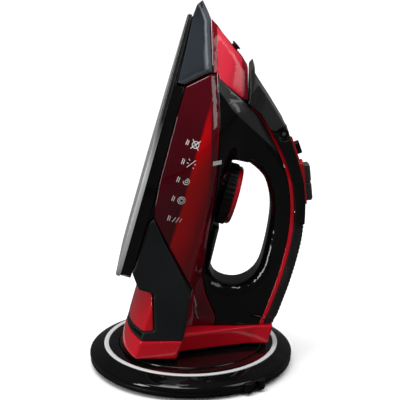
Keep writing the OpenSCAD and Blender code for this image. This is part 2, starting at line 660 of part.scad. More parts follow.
// The red frame round the slider starts behind the button frame, on the curve of the handle's back.
frame_x0 = button_x + (button_len + 2.5) * cos(button_tilt) + 1.54;
frame_x1 = 190.4;
frame_half = 7.4;
function back_strip(x0, x1, low, high) = concat(
    fitted([for (x = ring_pts(x0, x1, 8)) [x, back_z(x) + low]]),
    fitted([for (x = ring_pts(x1, x0, 8)) [x, back_z(x) + high]]));
module slider_frame() color([0.75, 0.02, 0.05]) dock() difference() {
    slab(back_strip(frame_x0, frame_x1, -1.3, 1.6), 2 * frame_half);
    at_slider() translate([-4.9, -5.5, -20]) cube([slider_travel + 9.8, 11, 60]);
}
pilot_x = 133.5;
module button_frame() color([0.75, 0.02, 0.05]) dock() at_buttons() difference() {
    translate([-frame_l / 2, -frame_w / 2, -8]) cube([frame_l, frame_w, 9.4]);
    translate([-button_len - 0.9, -button_w / 2 - 0.3, -20])
        cube([2 * button_len + 1.8, button_w + 0.6, 40]);
}
module pilot_lens() color([0.9, 0.9, 0.88]) dock() translate([pilot_x * kx, 0, 0]) {
    translate([0, 0, (back_z(pilot_x) - 5) * kz]) cylinder(r = 3, h = 4.6 * kz);
}
cap_bottom = -3;
cap_top = 6.5;
pump_top = cap_bottom - button_travel - 2.6;
pump_len = 10;
cap_shift = button_len / 2 + 0.25;
module button(dx) at_buttons() translate([dx * cap_shift, 0, 0]) {
    translate([-button_len / 2, -button_w / 2, cap_bottom])
        cube([button_len, button_w, cap_top - cap_bottom - 1]);
    translate([-button_len / 2 + 1, -button_w / 2 + 1, cap_top - 1.2])
        cube([button_len - 2, button_w - 2, 1.2]);
    translate([0, 0, pump_top - 5]) cylinder(r = piston_r, h = cap_bottom - pump_top + 5.2);
}
module pump(dx) at_buttons() translate([dx * cap_shift, 0, pump_top - pump_len]) difference() {
    cylinder(r = 5.4, h = pump_len);
    translate([0, 0, 1.2]) cylinder(r = piston_r + fit, h = pump_len);
    translate([0, 0, -1]) cylinder(r = 0.8, h = 4);
}
// A round wire coil: turns of a six sided wire, as one closed tube.
module coil(r, wire, h, turns) {
    steps = 12 * turns;
    rise = (h - 2 * wire) / steps;
    pts = [for (i = [0 : steps]) for (k = [0 : 5]) let (a = 30 * i, b = 60 * k, q = r + wire * cos(b))
        [q * cos(a), q * sin(a), wire + rise * i + wire * sin(b)]];
    ends = [[for (k = [0 : 5]) k], [for (k = [5 : -1 : 0]) steps * 6 + k]];
    sides = [for (i = [0 : steps - 1]) for (k = [0 : 5])
        [i * 6 + k, (i + 1) * 6 + k, (i + 1) * 6 + (k + 1) % 6, i * 6 + (k + 1) % 6]];
    polyhedron(points = pts, faces = concat(ends, sides), convexity = 8);
}
module spring(dx) at_buttons() translate([dx * cap_shift, 0, pump_top + 0.05])
    coil(piston_r + 1.3, 0.4, cap_bottom - pump_top - 0.1, 3);
module spray_button() color([0.1, 0.1, 0.11]) dock() button(1);
module steam_button() color([0.1, 0.1, 0.11]) dock() button(-1);
module spray_pump() color([0.85, 0.85, 0.8]) dock() pump(1);
module steam_pump() color([0.85, 0.85, 0.8]) dock() pump(-1);
module spray_spring() color([0.7, 0.7, 0.72]) dock() spring(1);
module steam_spring() color([0.7, 0.7, 0.72]) dock() spring(-1);
module rod(a, b, r) {
    v = b - a;
    translate(a) rotate([0, acos(v[2] / norm(v)), atan2(v[1], v[0])])
        cylinder(r = r, h = norm(v), $fn = 24);
}
module pump_tubes() color([0.9, 0.9, 0.88]) dock() for (side = [-1, 1])
    rod([156 * kx, side * 7.6, 99 * kz], [202 * kx, side * 7.6, 58 * kz], 1.2);
module drip_valve() color([0.8, 0.6, 0.3]) dock()
    translate([needle_x * kx, 0, casting_t + 1.1]) difference() {
        cylinder(r = 2.9, h = dome_z - casting_t - 2.4);
        translate([0, 0, 2]) cylinder(r = needle_r + fit, h = 20);
        translate([0, 0, -1]) cylinder(r = 0.7, h = 5);
    }
module fill_funnel() color([0.05, 0.05, 0.05]) dock() at_funnel() difference() {
    translate([0, 0, 1.5]) cylinder(r = 5.2, h = 24.5);
    cylinder(r = funnel_r, h = 60);
}

// ---- pieces that move on the iron ----
module dial_knob() color([0.03, 0.03, 0.03]) dock() translate([dial_x * kx, 0, dial_z]) difference() {
    union() {
        cylinder(r = dial_r - 1.2, h = 1);
        translate([0, 0, 1]) cylinder(r = dial_r, h = dial_t - 1);
    }
    for (a = [0 : 10 : 350]) rotate(a) translate([dial_r + 0.9, 0, -1]) cylinder(r = 1.5, h = 20, $fn = 16);
    translate([0, 0, -1]) cylinder(r = dial_shaft_r, h = 4.4);
}
module dial_face() color([0.75, 0.02, 0.04]) dock()
    translate([dial_x * kx, 0, dial_z + dial_t]) difference() {
        union() {
            cylinder(r = dial_r - 1.4, h = dial_face_t - 1);
            translate([0, 0, dial_face_t - 1]) cylinder(r = dial_r - 2.4, h = 1);
        }
        translate([0, 0, dial_face_t - 1.2]) difference() {
            cylinder(r = dial_r - 6, h = 3);
            translate([-dial_r, -2.6, -1]) cube([2 * dial_r, 5.2, 5]);
        }
    }
module dial_shaft() color([0.7, 0.7, 0.72]) dock() translate([dial_x * kx, 0, 0])
    translate([0, 0, thermostat_z + 1.5]) cylinder(r = dial_shaft_r, h = dial_z + 2.2 - thermostat_z - 1.5);
module dial_bush() color([0.8, 0.8, 0.75]) dock() translate([dial_x * kx, 0, 0]) difference() {
    translate([0, 0, dome_z + 2]) cylinder(r = dial_shaft_r + 1.2, h = dial_z - dome_z - 5.4);
    cylinder(r = dial_shaft_r + fit, h = 100);
}
module steam_slider() color([0.05, 0.05, 0.05]) dock() at_slider() {
    translate([-4.5, -5, 0.6]) cube([9, 10, 4.6]);
    translate([-3, -2.8, -4.4]) cube([6, 5.6, 5.2]);
    translate([-4.5, -4.4, -6]) cube([9, 8.8, 1.8]);
}
module valve_needle() color([0.75, 0.75, 0.77]) dock() translate([needle_x * kx, 0, casting_t + 3.8])
    cylinder(r = needle_r, h = 93 * kz - needle_lift - casting_t - 3.8);
lid_outline = concat(fitted([[242.5, 56.6], [231.5, 60.6], [217, 77.7], [202, 94], [197.4, 98.4]]),
    [for (a = [50 : 20 : 250]) [pin_x * kx + knuckle_r * cos(a), pin_z * kz + knuckle_r * sin(a)]],
    fitted([[195.2, 91.2]]),
    fitted([for (x = [195.4, 200, 205, 209, 212.4]) [x, stripe_z(x) + stripe_w / 2 + 0.5]]),
    fitted([[214.6, 61.1], [237, 54.6]]));
module fill_lid() color([0.1, 0.1, 0.105]) dock() difference() {
    intersection() {
        form();
        slab_in(lid_outline, seam);
    }
    for (side = [-1, 1]) at_pin() translate([0, 0, side * (cheek_y - 0.3 + 20)])
        cylinder(r = knuckle_r + 2.4, h = 40, center = true);
    at_pin() cylinder(r = pin_r + 1.3, h = 80, center = true);
    at_funnel() cylinder(r = 6.4, h = 30);
}
module lid_bush() color([0.6, 0.6, 0.6]) dock() at_pin() difference() {
    cylinder(r = pin_r + 1.2, h = 2 * cheek_y - 1, center = true);
    cylinder(r = pin_r + fit, h = 80, center = true);
}
module lid_pin() color([0.7, 0.7, 0.72]) dock() at_pin() cylinder(r = pin_r, h = 24.6, center = true);

base_bottom_shell();
base_top_cover();
base_ring();
base_feet();
base_screws();
hub_spindle();
slip_contacts();
terminal_block();
base_wiring();
cord_outlet();
turntable();
turntable_clip();
dock_blades();
sole_plate();
steam_chamber();
heating_element();
chamber_gasket();
chamber_cover();
thermostat();
thermal_fuse();
heat_shield();
water_tank();
nose_cover();
front_panel();
rear_skirt();
heel_window();
heel_cap();
heel_socket();
heel_sleeves();
iron_wiring();
handle_left();
handle_right();
stripe_left();
stripe_right();
grip_pad();
control_bezel();
button_frame();
slider_frame();
pilot_lens();
spray_nozzle();
spray_pump();
steam_pump();
pump_tubes();
drip_valve();
fill_funnel();
lid_pin();
dial_bush();
handle_screws();
dial_knob();
dial_face();
dial_shaft();
steam_slider();
valve_needle();
spray_button();
steam_button();
spray_spring();
steam_spring();
fill_lid();
lid_bush();
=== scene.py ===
import bisect
import json
import math

import bmesh
import bpy
from mathutils import Matrix, Vector

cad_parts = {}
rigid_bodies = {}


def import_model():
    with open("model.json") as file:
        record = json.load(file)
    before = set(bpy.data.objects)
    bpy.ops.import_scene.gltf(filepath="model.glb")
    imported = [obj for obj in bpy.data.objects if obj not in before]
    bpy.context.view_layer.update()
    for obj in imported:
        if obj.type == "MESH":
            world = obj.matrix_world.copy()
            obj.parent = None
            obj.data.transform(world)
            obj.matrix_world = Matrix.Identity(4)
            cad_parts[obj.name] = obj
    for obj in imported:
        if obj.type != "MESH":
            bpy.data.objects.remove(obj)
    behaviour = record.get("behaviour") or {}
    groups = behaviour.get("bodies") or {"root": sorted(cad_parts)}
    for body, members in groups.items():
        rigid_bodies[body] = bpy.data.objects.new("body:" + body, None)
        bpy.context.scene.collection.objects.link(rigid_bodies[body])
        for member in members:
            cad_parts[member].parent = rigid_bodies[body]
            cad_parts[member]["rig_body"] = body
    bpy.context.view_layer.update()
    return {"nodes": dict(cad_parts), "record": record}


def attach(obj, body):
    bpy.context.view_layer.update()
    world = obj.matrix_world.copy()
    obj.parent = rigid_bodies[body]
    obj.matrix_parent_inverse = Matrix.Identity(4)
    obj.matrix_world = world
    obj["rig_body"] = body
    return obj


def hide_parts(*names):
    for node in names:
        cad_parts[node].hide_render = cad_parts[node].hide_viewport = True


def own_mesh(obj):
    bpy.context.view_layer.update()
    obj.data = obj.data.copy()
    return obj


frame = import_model()

# ---------------------------------------------------------------- camera and studio
scene = bpy.context.scene
camera = bpy.data.objects.new("camera", bpy.data.cameras.new("camera"))
scene.collection.objects.link(camera)
camera.location = (0.0079, -0.9171, 0.4023)
aim = Vector((0.00786, 0.0, 0.13984)) - Vector(camera.location)
camera.rotation_euler = aim.to_track_quat("-Z", "Y").to_euler()
camera.data.lens = 105
camera.data.sensor_width = 36
camera.data.clip_start = 0.05
camera.data.clip_end = 60
scene.camera = camera
scene.view_settings.view_transform = "Standard"
scene.view_settings.look = "None"


def soft_light(name, where, towards, size, power, colour=(1, 1, 1)):
    lamp = bpy.data.lights.new(name, "AREA")
    lamp.shape = "RECTANGLE"
    lamp.size, lamp.size_y = size
    lamp.energy = power
    lamp.color = colour
    body = bpy.data.objects.new(name, lamp)
    body.location = where
    body.rotation_euler = (Vector(towards) - Vector(where)).to_track_quat("-Z", "Y").to_euler()
    scene.collection.objects.link(body)
    return body


ceiling = soft_light("ceiling", (0, 2.5, 5.0), (0, 2.5, 0), (10, 12), 660)
ceiling.visible_glossy = False
soft_light("overhead_box", (-0.25, -0.15, 1.3), (0, 0, 0.1), (0.7, 0.5), 6)
soft_light("left_strip", (-1.1, -0.75, 0.45), (0, 0, 0.15), (0.3, 1.0), 9)
soft_light("right_strip", (0.95, -0.5, 0.85), (0.02, 0, 0.18), (0.5, 0.9), 3)

world = bpy.data.worlds.new("studio")
scene.world = world
world.use_nodes = True
world.node_tree.nodes["Background"].inputs["Color"].default_value = (1, 1, 1, 1)
world.node_tree.nodes["Background"].inputs["Strength"].default_value = 0.06


# ---------------------------------------------------------------- surface effects
class Graph:
    """Short calls for placing and joining nodes."""

    def __init__(self, tree):
        self.tree = tree
        self.nodes = tree.nodes

    def node(self, kind, **settings):
        made = self.nodes.new(kind)
        for key, value in settings.items():
            setattr(made, key, value)
        return made

    def join(self, out, into):
        self.tree.links.new(out, into)

    def put(self, socket, value):
        if isinstance(value, bpy.types.NodeSocket):
            self.join(value, socket)
        else:
            socket.default_value = value

    def noise(self, vector, scale, detail=3.0, rough=0.5):
        made = self.node("ShaderNodeTexNoise")
        self.put(made.inputs["Vector"], vector)
        self.put(made.inputs["Scale"], scale)
        made.inputs["Detail"].default_value = detail
        made.inputs["Roughness"].default_value = rough
        return made.outputs["Fac"]

    def maths(self, work, a, b=0.0, c=0.0):
        made = self.node("ShaderNodeMath", operation=work)
        for socket, value in zip(made.inputs, (a, b, c)):
            self.put(socket, value)
        return made.outputs["Value"]

    def span(self, value, low, high, to_low=0.0, to_high=1.0):
        made = self.node("ShaderNodeMapRange", clamp=True)
        for key, given in (("Value", value), ("From Min", low), ("From Max", high),
                           ("To Min", to_low), ("To Max", to_high)):
            self.put(made.inputs[key], given)
        return made.outputs["Result"]

    def blend(self, factor, a, b, how="MIX"):
        made = self.node("ShaderNodeMix", data_type="RGBA", blend_type=how)
        self.put(made.inputs["Factor"], factor)
        self.put(made.inputs["A"], a)
        self.put(made.inputs["B"], b)
        return made.outputs["Result"]


def effect(name, takes, gives):
    tree = bpy.data.node_groups.new(name, "ShaderNodeTree")
    for key, kind, start in takes:
        socket = tree.interface.new_socket(key, in_out="INPUT", socket_type=kind)
        socket.default_value = start
    for key, kind in gives:
        tree.interface.new_socket(key, in_out="OUTPUT", socket_type=kind)
    graph = Graph(tree)
    return tree, graph, graph.node("NodeGroupInput"), graph.node("NodeGroupOutput")


def object_place(graph):
    return graph.node("ShaderNodeTexCoord").outputs["Object"]


def make_moulding():
    """Fine moulded grain: a height and a slow change of tone over the part."""
    tree, g, takes, gives = effect(
        "moulding", [("Grain", "NodeSocketFloat", 900.0)],
        [("Height", "NodeSocketFloat"), ("Tone", "NodeSocketFloat")])
    place = object_place(g)
    fine = g.noise(place, takes.outputs["Grain"], 2.0)
    slow = g.noise(place, 22.0, 4.0, 0.6)
    g.join(fine, gives.inputs["Height"])
    g.join(g.span(slow, 0.3, 0.7), gives.inputs["Tone"])
    return tree


def make_handling():
    """Hairline scratches and finger smudges, as one mask each."""
    tree, g, takes, gives = effect(
        "handling", [("Amount", "NodeSocketFloat", 0.5)],
        [("Scratches", "NodeSocketFloat"), ("Smudges", "NodeSocketFloat")])
    place = object_place(g)
    turn = g.node("ShaderNodeMapping")
    turn.inputs["Rotation"].default_value = (0.4, 0.9, 0.2)
    turn.inputs["Scale"].default_value = (1.0, 14.0, 1.0)
    g.join(place, turn.inputs["Vector"])
    lines = g.noise(turn.outputs["Vector"], 160.0, 2.0)
    worn = g.noise(place, 30.0, 3.0)
    thin = g.span(lines, 0.66, 0.72)
    g.join(g.maths("MULTIPLY", g.maths("MULTIPLY", thin, g.span(worn, 0.5, 0.7)), takes.outputs["Amount"]),
           gives.inputs["Scratches"])
    smear = g.noise(place, 65.0, 5.0, 0.65)
    g.join(g.maths("MULTIPLY", g.span(smear, 0.48, 0.75), takes.outputs["Amount"]), gives.inputs["Smudges"])
    return tree


def make_dust():
    """Dust that settles where a surface faces up."""
    tree, g, takes, gives = effect(
        "dust", [("Amount", "NodeSocketFloat", 0.3)], [("Mask", "NodeSocketFloat")])
    split = g.node("ShaderNodeSeparateXYZ")
    g.join(g.node("ShaderNodeNewGeometry").outputs["Normal"], split.inputs["Vector"])
    facing = g.span(split.outputs["Z"], 0.35, 1.0)
    specks = g.noise(object_place(g), 1500.0, 1.0)
    patches = g.noise(object_place(g), 40.0, 3.0)
    cover = g.maths("MULTIPLY", g.span(specks, 0.62, 0.78), g.span(patches, 0.35, 0.75))
    settled = g.maths("MULTIPLY", cover, facing)
    g.join(g.maths("MULTIPLY", settled, takes.outputs["Amount"]), gives.inputs["Mask"])
    return tree


def make_wear_and_highlight():
    """Edges that rubbing has polished, and edges lit as a painted highlight, as one mask."""
    tree, g, takes, gives = effect(
        "edge_wear_and_highlight", [("Amount", "NodeSocketFloat", 0.4)], [("Mask", "NodeSocketFloat")])
    sharp = g.node("ShaderNodeNewGeometry").outputs["Pointiness"]
    patchy = g.noise(object_place(g), 90.0, 4.0, 0.6)
    edge = g.maths("MULTIPLY", g.span(sharp, 0.53, 0.62), g.span(patchy, 0.35, 0.65))
    g.join(g.maths("MULTIPLY", edge, takes.outputs["Amount"]), gives.inputs["Mask"])
    return tree


moulding, handling, dust, edge_wear_and_highlight = make_moulding(), make_handling(), make_dust(), make_wear_and_highlight()


def finish(name, colour, tone, rough, rough_worn, grain=900.0, bump=0.02, scratch=0.4, dusty=0.25,
           worn=0.35, wear_and_highlight_colour=None, depth=0.0002, metallic=0.0, coat=0.0, coat_rough=0.05,
           sheen=0.0, specular=0.5, through=0.0, ior=1.46, pattern=None):
    """A moulded or metal finish with grain, hairlines, smudges, dust and worn edges; the lighter worn edges
    also serve as a painted edge highlight.
    """
    material = bpy.data.materials.new(name)
    material.use_nodes = True
    g = Graph(material.node_tree)
    shader = g.nodes["Principled BSDF"]
    shader.inputs["Metallic"].default_value = metallic
    shader.inputs["IOR"].default_value = ior
    shader.inputs["Specular IOR Level"].default_value = specular
    shader.inputs["Coat Weight"].default_value = coat
    shader.inputs["Coat Roughness"].default_value = coat_rough
    shader.inputs["Sheen Weight"].default_value = sheen
    shader.inputs["Transmission Weight"].default_value = through

    def place(tree, **values):
        made = g.node("ShaderNodeGroup", node_tree=tree)
        for key, value in values.items():
            made.inputs[key].default_value = value
        return made.outputs

    mould = place(moulding, Grain=grain)
    hand = place(handling, Amount=scratch)
    base = g.blend(mould["Tone"], (*colour, 1), (*tone, 1))
    height = mould["Height"]
    if pattern:
        base, height = pattern(g, base, height)
    # Pointy edges turn lighter: partly wear, partly a painted highlight along lit edges.
    rub = place(edge_wear_and_highlight, Amount=worn)["Mask"]
    lighter = wear_and_highlight_colour or [min(1.0, c * 1.6 + 0.03) for c in tone]
    base = g.blend(rub, base, (*lighter, 1))
    film = place(dust, Amount=dusty)["Mask"]
    base = g.blend(film, base, (0.62, 0.6, 0.57, 1))
    g.join(base, shader.inputs["Base Color"])
    worn_rough = g.maths("MAXIMUM", hand["Smudges"], hand["Scratches"])
    roughness = g.span(worn_rough, 0.0, 1.0, rough, rough_worn)
    roughness = g.maths("ADD", roughness, g.maths("MULTIPLY", film, 0.3))
    g.join(roughness, shader.inputs["Roughness"])
    lift = g.maths("SUBTRACT", height, g.maths("MULTIPLY", hand["Scratches"], 0.6))
    relief = g.node("ShaderNodeBump")
    relief.inputs["Strength"].default_value = bump
    relief.inputs["Distance"].default_value = depth
    g.join(lift, relief.inputs["Height"])
    g.join(relief.outputs["Normal"], shader.inputs["Normal"])
    return material


def split_place(g):
    split = g.node("ShaderNodeSeparateXYZ")
    g.join(object_place(g), split.inputs["Vector"])
    return split.outputs


def iron_place(g):
    """Distance along the iron and height above its soleplate, in metres."""
    place = split_place(g)
    x = g.maths("ADD", place["X"], 0.0708)
    z = g.maths("SUBTRACT", place["Z"], 0.0373)
    length = g.maths("MULTIPLY_ADD", x, 0.2756, g.maths("MULTIPLY", z, 0.9613))
    height = g.maths("SUBTRACT", g.maths("MULTIPLY", x, 0.9613), g.maths("MULTIPLY", z, 0.2756))
    return length, height


def beyond(g, length, up, point, normal):
    """Distance past a line on the iron's side, in metres, for a point on it and the way it faces."""
    past = g.maths("MULTIPLY", g.maths("SUBTRACT", length, point[0] / 1000), normal[0])
    return g.maths("MULTIPLY_ADD", g.maths("SUBTRACT", up, point[1] / 1000), normal[1], past)


def shaded_roof_facet(g, length, up):
    """Mask of the slim facet just under the line where the body meets the handle and the front, where painted
    shade darkens the colour.
    """
    mm_along = g.maths("MULTIPLY", length, 1000.0)
    from_heel = g.maths("SUBTRACT", mm_along, 66.0)
    bend = g.maths("MULTIPLY", from_heel, g.maths("SUBTRACT", mm_along, 173.0))
    curve = g.maths("MULTIPLY_ADD", bend, -0.000735, g.maths("MULTIPLY_ADD", from_heel, -0.1589, 64.6))
    front = g.maths("MULTIPLY_ADD", g.maths("SUBTRACT", mm_along, 227.0), -0.294, 31.0)
    under = g.maths("SUBTRACT", g.maths("MINIMUM", curve, front), g.maths("MULTIPLY", up, 1000.0))
    return g.maths("MULTIPLY", g.span(under, 5.8, 5.0), g.span(under, -0.2, 0.4))


def front_painted_light_and_shade(g, base, height):
    """The front cover has a painted pale reflection along its lower half, and painted shade on a slim facet
    at each long side.
    """
    length, up = iron_place(g)
    lit = g.blend(g.span(up, 0.052, 0.026), base, (0.8, 0.045, 0.075, 1))
    lid_side_shade = g.span(beyond(g, length, up, (236.8, 53.2), (-0.281, -0.959)), 0.0052, 0.0044)
    dark = g.maths("MAXIMUM", shaded_roof_facet(g, length, up), lid_side_shade)
    return g.blend(dark, lit, (0.24, 0.002, 0.012, 1)), height


def handle_painted_sheen(g, base, height):
    """A painted grey sheen lies on the facet between the front cover and the finger opening."""
    length, up = iron_place(g)
    wave = g.maths("MULTIPLY_ADD", g.noise(object_place(g), 45.0, 1.0), 0.004, -0.002)
    facet = g.maths("ADD", beyond(g, length, up, (211.4, 40.6), (0.847, 0.532)), wave)
    sheen_mask = g.maths("MULTIPLY", g.span(facet, 0.0, 0.0008), g.span(length, 0.17, 0.185))
    return g.blend(sheen_mask, base, (0.04, 0.041, 0.042, 1)), height


def nose_painted_reflection(g, base, height):
    """The nose cover has a painted pale reflection along its upper and rear rims."""
    length, up = iron_place(g)
    wave = g.maths("MULTIPLY_ADD", g.noise(object_place(g), 60.0, 1.0), 0.004, -0.002)
    upper = g.maths("ADD", beyond(g, length, up, (264.5, 15.0), (-0.312, -0.95)), wave)
    rear = g.maths("ADD", beyond(g, length, up, (213.4, 9.2), (0.792, -0.611)), wave)
    painted_band = g.maths("MAXIMUM", g.span(upper, 0.0068, 0.0056), g.span(rear, 0.0055, 0.0035))
    return g.blend(painted_band, base, (0.115, 0.13, 0.145, 1)), height


def lid_lip_and_painted_shade(g, base, height):
    """The lip of the lid is painted near-black: partly bare black plastic, partly painted shade of the gap
    against the front panel.
    """
    length, up = iron_place(g)
    lip = g.span(beyond(g, length, up, (232.9, 59.8), (0.101, 0.995)), 0.0004, -0.0002)
    tip = g.span(length, 0.2335, 0.2345)
    return g.blend(g.maths("MAXIMUM", lip, tip), base, (0.003, 0.003, 0.003, 1)), height


def sole_lines_and_painted_reflection(g, base, height):
    """Fine lines on the face; the rim of the plate carries a painted reflection, pale towards the heel and
    dark towards the nose.
    """
    base, height = brushed(g, base, height)
    facing = g.node("ShaderNodeVectorMath", operation="DOT_PRODUCT")
    g.join(g.node("ShaderNodeTexCoord").outputs["Normal"], facing.inputs[0])
    facing.inputs[1].default_value = (0.9613, 0.0, -0.2756)
    rim = g.span(g.maths("ABSOLUTE", facing.outputs["Value"]), 0.75, 0.5)
    length, up = iron_place(g)
    painted_reflection_colour = g.blend(g.span(length, 0.14, 0.185), (0.85, 0.85, 0.85, 1), (0.02, 0.02, 0.02, 1))
    return g.blend(rim, base, painted_reflection_colour), height


def tank_painted_glow(g, base, height):
    """The tinted wall is dark low on the side; a painted glow of light lies where it bends and fades out
    towards the nose and heel; the facet under the roof line gets painted shade.
    """
    length, up = iron_place(g)
    ripple = g.maths("MULTIPLY_ADD", g.noise(object_place(g), 18.0, 2.0), 0.004, up)
    glow = g.span(ripple, 0.0325, 0.0345)
    glow_fade = g.span(ripple, 0.036, 0.052)
    glow_colour = g.blend(glow_fade, (0.74, 0.0, 0.002, 1), (0.3, 0.0, 0.006, 1))
    lit = g.blend(glow, base, glow_colour)
    nose = g.span(length, 0.185, 0.222)
    heel = g.span(length, 0.075, 0.035)
    ends = g.maths("MAXIMUM", nose, heel)
    body = g.blend(ends, lit, (0.12, 0.001, 0.008, 1))
    return g.blend(shaded_roof_facet(g, length, up), body, (0.15, 0.003, 0.012, 1)), height


def rubber_dots(g, base, height):
    """Close rows of small raised dots on a rubber grip."""
    cells = g.node("ShaderNodeTexVoronoi", feature="F1")
    g.join(object_place(g), cells.inputs["Vector"])
    cells.inputs["Scale"].default_value = 420.0
    cells.inputs["Randomness"].default_value = 0.15
    dots = g.span(cells.outputs["Distance"], 0.42, 0.3)
    tone = g.blend(g.maths("MULTIPLY", dots, 0.35), base, (0.05, 0.05, 0.052, 1))
    return tone, g.maths("ADD", dots, height)


def turned_lines(g, base, height):
    """Fine circular tool marks round the upright axis."""
    place = split_place(g)
    radius = g.maths("SQRT", g.maths("ADD", g.maths("MULTIPLY", place["X"], place["X"]),
                                     g.maths("MULTIPLY", place["Y"], place["Y"])))
    line = g.noise(g.maths("MULTIPLY", radius, 60.0), 30.0, 3.0)
    return g.blend(g.maths("MULTIPLY", line, 0.25), base, (0.3, 0.3, 0.31, 1)), g.maths("ADD", line, height)


def brushed(g, base, height):
    """Long fine lines along the soleplate."""
    stretch = g.node("ShaderNodeMapping")
    stretch.inputs["Scale"].default_value = (1.0, 60.0, 1.0)
    stretch.inputs["Rotation"].default_value = (0.0, 0.28, 0.0)
    g.join(object_place(g), stretch.inputs["Vector"])
    line = g.noise(stretch.outputs["Vector"], 28.0, 3.0)
    return g.blend(g.maths("MULTIPLY", line, 0.2), base, (0.55, 0.55, 0.57, 1)), g.maths("ADD", line, height)


finishes = {
    "black_gloss": finish("black_gloss", (0.0015, 0.0015, 0.0015), (0.003, 0.003, 0.003), 0.07, 0.2,
                          bump=0.01, coat=0.35, coat_rough=0.03, dusty=0.06, worn=0.12, specular=0.4),
    "handle_black": finish("handle_black", (0.0015, 0.0015, 0.0015), (0.003, 0.003, 0.003), 0.07, 0.2,
                           bump=0.01, coat=0.35, coat_rough=0.03, dusty=0.04, worn=0.12, specular=0.4,
                           pattern=handle_painted_sheen),
    "black_satin": finish("black_satin", (0.003, 0.003, 0.003), (0.006, 0.006, 0.006), 0.34, 0.5,
                          grain=1500, bump=0.12, dusty=0.08, worn=0.2, specular=0.35),
    "soft_touch": finish("soft_touch", (0.028, 0.029, 0.031), (0.038, 0.039, 0.042), 0.46, 0.58,
                         grain=2200, bump=0.12, sheen=0.15, dusty=0.2),
    "lid_touch": finish("lid_touch", (0.02, 0.02, 0.021), (0.028, 0.028, 0.029), 0.46, 0.58,
                        grain=2200, bump=0.12, sheen=0.1, dusty=0.12, pattern=lid_lip_and_painted_shade),
    "grip_rubber": finish("grip_rubber", (0.004, 0.004, 0.004), (0.009, 0.009, 0.009), 0.5, 0.66,
                          bump=0.5, depth=0.0003, sheen=0.1, pattern=rubber_dots),
    "red_gloss": finish("red_gloss", (0.58, 0.003, 0.012), (0.66, 0.006, 0.02), 0.14, 0.3,
                        bump=0.01, coat=0.7, coat_rough=0.04, dusty=0.1, worn=0.15,
                        wear_and_highlight_colour=(0.75, 0.06, 0.08)),
    "front_red": finish("front_red", (0.6, 0.01, 0.03), (0.66, 0.014, 0.036), 0.16, 0.3,
                        bump=0.01, coat=0.5, coat_rough=0.06, dusty=0.05, worn=0.1,
                        wear_and_highlight_colour=(0.75, 0.06, 0.08), pattern=front_painted_light_and_shade),
    "tank_red": finish("tank_red", (0.075, 0.0, 0.005), (0.11, 0.0, 0.006), 0.05, 0.14,
                       bump=0.008, coat=0.5, coat_rough=0.02, dusty=0.06, worn=0.1, through=0.3, ior=1.5,
                       wear_and_highlight_colour=(0.5, 0.02, 0.03), pattern=tank_painted_glow),
    "slate_gloss": finish("slate_gloss", (0.026, 0.033, 0.04), (0.034, 0.042, 0.05), 0.12, 0.26,
                          bump=0.01, coat=0.5, coat_rough=0.04, dusty=0.1, worn=0.2, pattern=nose_painted_reflection),
    # The strong lighter edges of this finish are mostly a painted highlight along the chamfers.
    "charcoal": finish("charcoal", (0.008, 0.009, 0.01), (0.013, 0.014, 0.015), 0.42, 0.55,
                       grain=1800, bump=0.16, dusty=0.1, worn=0.8, wear_and_highlight_colour=(0.1, 0.11, 0.115),
                       specular=0.4),
    "sole_ceramic": finish("sole_ceramic", (0.76, 0.76, 0.78), (0.82, 0.82, 0.83), 0.16, 0.3,
                           bump=0.05, metallic=0.4, dusty=0.05, worn=0.1, pattern=sole_lines_and_painted_reflection),
    "cast_aluminium": finish("cast_aluminium", (0.5, 0.5, 0.52), (0.6, 0.6, 0.61), 0.42, 0.6,
                             grain=420, bump=0.4, metallic=1.0),
    "silver_trim": finish("silver_trim", (0.72, 0.73, 0.74), (0.78, 0.79, 0.8), 0.24, 0.36,
                          bump=0.04, metallic=0.15, dusty=0.08, pattern=turned_lines),
    "steel": finish("steel", (0.5, 0.5, 0.51), (0.58, 0.58, 0.59), 0.28, 0.45, bump=0.1, metallic=1.0),
    "brass": finish("brass", (0.72, 0.5, 0.2), (0.8, 0.6, 0.26), 0.26, 0.42, bump=0.06, metallic=1.0),
    "ivory_plastic": finish("ivory_plastic", (0.66, 0.64, 0.57), (0.72, 0.7, 0.63), 0.4, 0.55, bump=0.08),
    "foot_rubber": finish("foot_rubber", (0.014, 0.014, 0.014), (0.02, 0.02, 0.02), 0.7, 0.85, bump=0.3),
    "silicone_red": finish("silicone_red", (0.42, 0.08, 0.05), (0.5, 0.1, 0.07), 0.5, 0.62, bump=0.1),
    "wire_sleeve": finish("wire_sleeve", (0.6, 0.58, 0.5), (0.68, 0.66, 0.58), 0.5, 0.6, bump=0.1),
    "clear_lens": finish("clear_lens", (0.86, 0.86, 0.85), (0.92, 0.92, 0.9), 0.12, 0.22,
                         bump=0.02, coat=0.5, through=0.35),
    "white_print": finish("white_print", (0.78, 0.78, 0.78), (0.85, 0.85, 0.85), 0.4, 0.5,
                          grain=3000, bump=0.1, dusty=0.05),
}

# Finishes that stand for a slot of the record, some with painted light and shade of their own.
finish_of = {part["node"]: part["material_slot"] for part in frame["record"]["subparts"]}


# ---------------------------------------------------------------- making pieces
mm = 0.001
lean = math.radians(16)
stand = Vector((-70.8, 0, 37.3))
# Carries a point given as (along the iron, across it, up from the soleplate) in millimetres to its place.
leaning = Matrix(((math.sin(lean), 0, math.cos(lean), 0), (0, -1, 0, 0),
                  (math.cos(lean), 0, -math.sin(lean), 0), (0, 0, 0, 1)))
docked = Matrix.Scale(mm, 4) @ Matrix.Translation(stand) @ leaning
upright = Matrix.Scale(mm, 4)


def shade(bm, angle=38):
    for face in bm.faces:
        face.smooth = True
    for edge in bm.edges:
        edge.smooth = len(edge.link_faces) == 2 and edge.calc_face_angle(0) < math.radians(angle)


